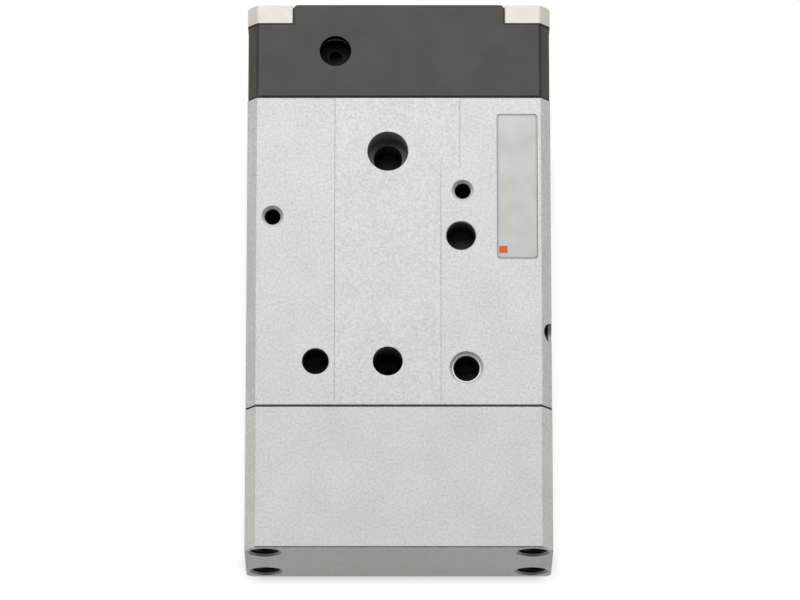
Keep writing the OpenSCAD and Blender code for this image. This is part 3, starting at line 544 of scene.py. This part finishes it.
# Gasket, seals and rear cover. A black nitrile sheet seals the joint, and the cover behind
# it is cast and hard coated dark grey, a little mottled, with painted shade on its long
# chamfers.
rubber = new_finish("nitrile", (0.012, 0.012, 0.012), metallic=0.0, roughness=0.62)
rubber_grain = grain(rubber, 0.3 * MM, detail=3)
tone(rubber, spread(rubber, rubber_grain, 0, 1), (0.009, 0.009, 0.009),
     (0.020, 0.020, 0.020))
rough(rubber, rubber_grain, 0.7, 0.5)
relief(rubber, rubber_grain, 0.008 * MM, edge=0.05 * MM)
dress(rubber, "gasket", "rod_seals", "rod_cover_rings", "head_cap_rings", "piston_seals",
      "lock_pin_seal")


def painted_chamfer_shade(finish, change):
    """That change on the two chamfers that run along the unit, and none elsewhere: painted
    shade.
    """
    lean = combine(finish, "MULTIPLY", facing(finish, "X"), facing(finish, "Z"))
    return spread(finish, lean, 0, change, start=0.1, stop=0.4)


cover_coat = new_finish("dark_hard_coat", (0.07, 0.066, 0.055), metallic=0.0, roughness=0.4,
                        Specular_IOR_Level=0.3)
cover_grain = grain(cover_coat, 0.35 * MM, detail=3)
cover_mottle = grain(cover_coat, 6 * MM, detail=3, seed=5.5)
cover_mix = mingle(cover_coat, cover_mottle, cover_grain, broad_share=0.6)
# Painted shade: the long chamfers darker.
tone(cover_coat, combine(cover_coat, "ADD", cover_mix, painted_chamfer_shade(cover_coat, change=-0.7)),
     (0.051, 0.048, 0.040), (0.083, 0.079, 0.067))
# Painted shade: darker down in holes and joints.
painted_hollow_shade(cover_coat, (0.004, 0.004, 0.004))
rough(cover_coat, cover_mottle, 0.34, 0.42)
relief(cover_coat, cover_grain, 0.010 * MM, edge=0.02 * MM)
dress(cover_coat, "rear_cover")

# Clamp bars. Two moulded ivory bars hold the cover's rear corners, each edged by a thin black
# strip that paints the shade of its joint, and a pair of low-head socket screws pulls each of
# them to the body.
ivory = new_finish("ivory_moulding", (0.86, 0.83, 0.76), metallic=0.0, roughness=0.46)
ivory_grain = grain(ivory, 0.3 * MM, detail=3)
ivory_cloud = grain(ivory, 3 * MM, detail=2, seed=1.7)
ivory_mix = mingle(ivory, ivory_cloud, ivory_grain, broad_share=0.7)
# Painted shade: the long chamfers darker and yellower.
tone(ivory, combine(ivory, "ADD", ivory_mix, painted_chamfer_shade(ivory, change=-1.5)),
     (0.88, 0.84, 0.74), (0.95, 0.915, 0.83))
rough(ivory, ivory_cloud, 0.5, 0.42)
relief(ivory, ivory_grain, 0.006 * MM)
dress(ivory, "left_clamp_bar", "right_clamp_bar")
bar_low, bar_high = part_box("right_clamp_bar")


def bar_joint_shade(bm):
    """Thin black strip in front of each bar and one along its inner side, a hair proud on top:
    painted shade along the joints.
    """
    thick, under_bar = 0.3 * MM, 0.02 * MM
    foot, top = bar_low.z + 0.5 * MM, bar_high.z + 0.03 * MM
    side, chamfer_w, chamfer_h = bar_high.x - 0.04 * MM, 2.0 * MM, 2.64 * MM
    near, inner_edge = bar_low.x - thick, bar_low.x + under_bar
    front = [(near, foot), (side, foot), (side, bar_high.z - chamfer_h),
             (side - chamfer_w, top), (near, top)]
    inner = [(near, foot), (inner_edge, foot), (inner_edge, top), (near, top)]
    for hand in (-1, 1):
        for outline, start, end in ((front, bar_low.y - thick, bar_low.y + under_bar),
                                    (inner, bar_low.y, bar_high.y - 0.5 * MM)):
            here = [bm.verts.new((hand * x, start, z)) for x, z in outline]
            there = [bm.verts.new((hand * x, end, z)) for x, z in outline]
            bm.faces.new(here)
            bm.faces.new(reversed(there))
            skin_between(bm, there, here)


new_piece("bar_joint_shade", "cylinder", rubber, bar_joint_shade)

# Front block. A second block of the same bar, blasted a little coarser, bolted up from
# under the table; four tapped holes in its face take the tool plate.


def filed_front(finish, metallic, roughness):
    """Its front edges are filed after blasting, which leaves them bare and smooth."""
    make, join = finish.node_tree.nodes.new, finish.node_tree.links.new
    place, parts = make("ShaderNodeTexCoord"), make("ShaderNodeSeparateXYZ")
    join(place.outputs["Normal"], parts.inputs[0])
    lean = combine(finish, "MULTIPLY", parts.outputs["Y"], parts.outputs["Z"])
    bare = spread(finish, combine(finish, "MULTIPLY", lean, -1), 0, 1, start=0.3, stop=0.42)
    shader = finish.node_tree.nodes["Principled BSDF"]
    join(spread(finish, bare, metallic, 1, start=0, stop=1), shader.inputs["Metallic"])
    join(spread(finish, bare, roughness, 0.2, start=0, stop=1), shader.inputs["Roughness"])


block_finish = blasted_anodise("block_anodise", dark=(0.70, 0.70, 0.69),
                               light=(0.84, 0.84, 0.825), metallic=0.1, roughness=0.55,
                               pit=0.012 * MM)
filed_front(block_finish, metallic=0.1, roughness=0.55)
dress(block_finish, "front_block")
block_low, block_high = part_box("front_block")
tool_holes = [Vector((x * MM, block_low.y, (block_low.z + block_high.z) / 2 + z * MM))
              for x in (-27, 27) for z in (-8, 8)]


def front_threads(bm):
    for mouth in tool_holes:
        thread_skin(bm, mouth, Vector((0, 1, 0)), start=0.47 * MM, stop=9.9 * MM,
                    bore=2.98 * MM, pitch=1.0 * MM, rise=0.4 * MM)


def front_rims(bm):
    """Countersinks of the front holes, cut last; their dark grey skin paints the shade in
    them.
    """
    for mouth in tool_holes:
        rim(bm, mouth, Vector((0, 1, 0)),
            profile=((3.41, 0.06), (3.39, 0.03), (2.93, 0.46), (2.95, 0.52)))


# Dark grey skin for the front countersinks: painted shade.
countersink_painted_shade = new_finish("countersink_painted_shade", (0.30, 0.30, 0.29), metallic=0.2, roughness=0.45)
tone(countersink_painted_shade, grain(countersink_painted_shade, 0.3 * MM), (0.22, 0.22, 0.21), (0.36, 0.36, 0.35))
new_piece("front_threads", "slide", thread_painted_shade, front_threads)
new_piece("front_rims", "slide", countersink_painted_shade, front_rims)

# Table. A deep channel of aluminium with the outer roller grooves ground into its walls.
# Its payload face, which lies down here, is fly cut and has four tapped holes.
table_finish = blasted_anodise("table_anodise", dark=(0.56, 0.56, 0.555),
                               light=(0.66, 0.66, 0.655), metallic=0.4, roughness=0.4,
                               pit=0.008 * MM)
dress(table_finish, "table")
table_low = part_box("table")[0]
load_holes = [Vector((x * MM, body_low.y + along * MM, table_low.z))
              for x in (-20, 20) for along in (11, 41)]


def table_threads(bm):
    for mouth in load_holes:
        thread_skin(bm, mouth, Vector((0, 0, 1)), start=0.5 * MM, stop=6.9 * MM,
                    bore=2.08 * MM, pitch=0.8 * MM, rise=0.15 * MM)


new_piece("table_threads", "slide", thread_painted_shade, table_threads)

# Guide. Rail, rollers and end plates of hardened steel, the rail and rollers ground bright,
# and the rollers held crosswise in pressed brass cages. The tail of the lock is ground too.
ground_steel = new_finish("ground_steel", (0.52, 0.52, 0.54), metallic=0.95, roughness=0.26)
grind_lines = grain(ground_steel, 0.12 * MM, stretch=(1, 50, 1), detail=2)
tone(ground_steel, spread(ground_steel, grind_lines, 0, 1), (0.44, 0.44, 0.46),
     (0.58, 0.58, 0.60))
rough(ground_steel, grind_lines, 0.34, 0.2)
relief(ground_steel, grind_lines, 0.002 * MM, edge=0.08 * MM)
dress(ground_steel, "guide_rail", "left_rollers", "right_rollers", "rail_end_plates",
      "lock_tail")

brass = new_finish("pressed_brass", (0.60, 0.42, 0.16), metallic=0.95, roughness=0.34)
brass_stain = grain(brass, 2 * MM, detail=4)
tone(brass, spread(brass, brass_stain, 0, 1), (0.46, 0.31, 0.12), (0.66, 0.47, 0.20))
rough(brass, brass_stain, 0.42, 0.26)
relief(brass, grain(brass, 0.3 * MM), 0.004 * MM, edge=0.08 * MM)
dress(brass, "left_cage", "right_cage")

# Rods and pistons. The rods are hard chromed and run in turned rod covers; each piston is
# turned, passivated to a pale gold, and carries a lip seal and a bonded magnet. Urethane
# bumpers catch it at both ends.
chrome = new_finish("hard_chrome", (0.62, 0.62, 0.64), metallic=1.0, roughness=0.12)
chrome_haze = grain(chrome, 1.2 * MM, stretch=(1, 8, 1), detail=3)
tone(chrome, spread(chrome, chrome_haze, 0, 1), (0.56, 0.56, 0.58), (0.66, 0.66, 0.68))
rough(chrome, chrome_haze, 0.16, 0.09)
relief(chrome, chrome_haze, 0.001 * MM, edge=0.1 * MM)
dress(chrome, "left_rod", "right_rod", "spring_guides")

turned = new_finish("turned_aluminium", (0.64, 0.64, 0.64), metallic=0.9, roughness=0.34)
turning_lines = grain(turned, 0.14 * MM, stretch=(20, 1, 20), detail=2)
tone(turned, spread(turned, turning_lines, 0, 1), (0.54, 0.54, 0.54), (0.68, 0.68, 0.68))
rough(turned, turning_lines, 0.42, 0.26)
relief(turned, turning_lines, 0.003 * MM)
dress(turned, "left_rod_cover", "right_rod_cover", "left_head_cap", "right_head_cap",
      "bridge_retainer", "rod_nuts", "piston_nut")

passivated = new_finish("passivated_aluminium", (0.50, 0.42, 0.22), metallic=0.85,
                        roughness=0.36)
passive_cloud = grain(passivated, 2.5 * MM, detail=3)
tone(passivated, spread(passivated, passive_cloud, 0, 1), (0.44, 0.38, 0.24),
     (0.56, 0.46, 0.22))
rough(passivated, passive_cloud, 0.42, 0.3)
relief(passivated, grain(passivated, 0.14 * MM, stretch=(20, 1, 20)), 0.003 * MM)
dress(passivated, "left_piston", "right_piston", "rod_bridge")

bonded_magnet = new_finish("bonded_magnet", (0.05, 0.05, 0.052), metallic=0.2, roughness=0.6)
magnet_grain = grain(bonded_magnet, 0.2 * MM)
tone(bonded_magnet, magnet_grain, (0.035, 0.035, 0.037), (0.075, 0.075, 0.078))
relief(bonded_magnet, magnet_grain, 0.006 * MM)
dress(bonded_magnet, "piston_magnets")

urethane = new_finish("urethane", (0.03, 0.028, 0.026), metallic=0.0, roughness=0.42)
urethane_grain = grain(urethane, 0.6 * MM)
tone(urethane, urethane_grain, (0.024, 0.022, 0.020), (0.042, 0.039, 0.036))
relief(urethane, urethane_grain, 0.004 * MM)
dress(urethane, "front_bumpers", "rear_bumpers")

# Springs. Cold-wound bright wire: two between the front block and the bar that joins the
# rods, and a fine one that holds the lock pin down when the air is off.
wire = new_finish("spring_wire", (0.46, 0.46, 0.48), metallic=0.95, roughness=0.28)
wire_scale = grain(wire, 0.3 * MM, detail=3)
tone(wire, spread(wire, wire_scale, 0, 1), (0.36, 0.36, 0.38), (0.52, 0.52, 0.54))
rough(wire, wire_scale, 0.36, 0.22)


def coil(bm, start, along, coil_r, wire_r, length, turns):
    """Wound wire from a start point, its end turns closed up."""
    across = along.orthogonal().normalized()
    beside = along.cross(across)
    steps, sides, end_turns = 28, 12, 0.8
    rings = []
    for i in range(round(turns * steps) + 1):
        turn = i / steps
        run = min(max((turn - end_turns) / (turns - 2 * end_turns), 0), 1)
        up = wire_r + (length - 2 * wire_r) * run
        out = across * math.cos(2 * math.pi * turn) + beside * math.sin(2 * math.pi * turn)
        section = [2 * math.pi * k / sides for k in range(sides)]
        rings.append([bm.verts.new(start + out * (coil_r - wire_r + wire_r * math.cos(a)) +
                                   along * (up + wire_r * math.sin(a))) for a in section])
    for here, there in zip(rings, rings[1:]):
        skin_between(bm, here, there)
    bm.faces.new(reversed(rings[0]))
    bm.faces.new(rings[-1])


buffer_low, buffer_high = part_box("buffer_springs")
buffer_r = (buffer_high.z - buffer_low.z) / 2


def buffer_coils(bm):
    for x in (buffer_low.x + buffer_r, buffer_high.x - buffer_r):
        coil(bm, Vector((x, buffer_low.y, buffer_low.z + buffer_r)), Vector((0, 1, 0)),
             buffer_r, wire_r=0.55 * MM, length=buffer_high.y - buffer_low.y, turns=4.5)


buffers = new_piece("buffer_coils", "slide", wire, buffer_coils)
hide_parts("buffer_springs")
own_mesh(buffers)

lock_low, lock_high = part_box("lock_spring")
lock_middle = (lock_low + lock_high) / 2


def lock_coil(bm):
    coil(bm, Vector((lock_middle.x, lock_middle.y, lock_low.z)), Vector((0, 0, 1)),
         (lock_high.x - lock_low.x) / 2, wire_r=0.225 * MM, length=lock_high.z - lock_low.z,
         turns=3.5)


return_spring = new_piece("lock_coil", None, wire, lock_coil)
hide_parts("lock_spring")
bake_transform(return_spring)

# Lock pin and bush. A hardened pin with a black oxide skin runs in a sintered bronze bush
# pressed into the cover; the pin is kept near black and dull, painted shade down in the
# release hole.
# Near black and dull: black oxide, with painted shade down in the release hole.
oxide_and_shade = new_finish("oxide_and_painted_shade", (0.006, 0.006, 0.007), metallic=0.0, roughness=0.5,
                   Specular_IOR_Level=0.12)
oxide_film = grain(oxide_and_shade, 0.8 * MM, detail=3)
tone(oxide_and_shade, spread(oxide_and_shade, oxide_film, 0, 1), (0.004, 0.004, 0.005), (0.010, 0.010, 0.011))
rough(oxide_and_shade, oxide_film, 0.6, 0.42)
dress(oxide_and_shade, "lock_pin")

bronze = new_finish("sintered_bronze", (0.46, 0.26, 0.10), metallic=0.8, roughness=0.42)
bronze_pores = grain(bronze, 0.3 * MM, detail=4)
tone(bronze, bronze_pores, (0.34, 0.19, 0.08), (0.52, 0.31, 0.13))
relief(bronze, bronze_pores, 0.006 * MM)
dress(bronze, "lock_bush")
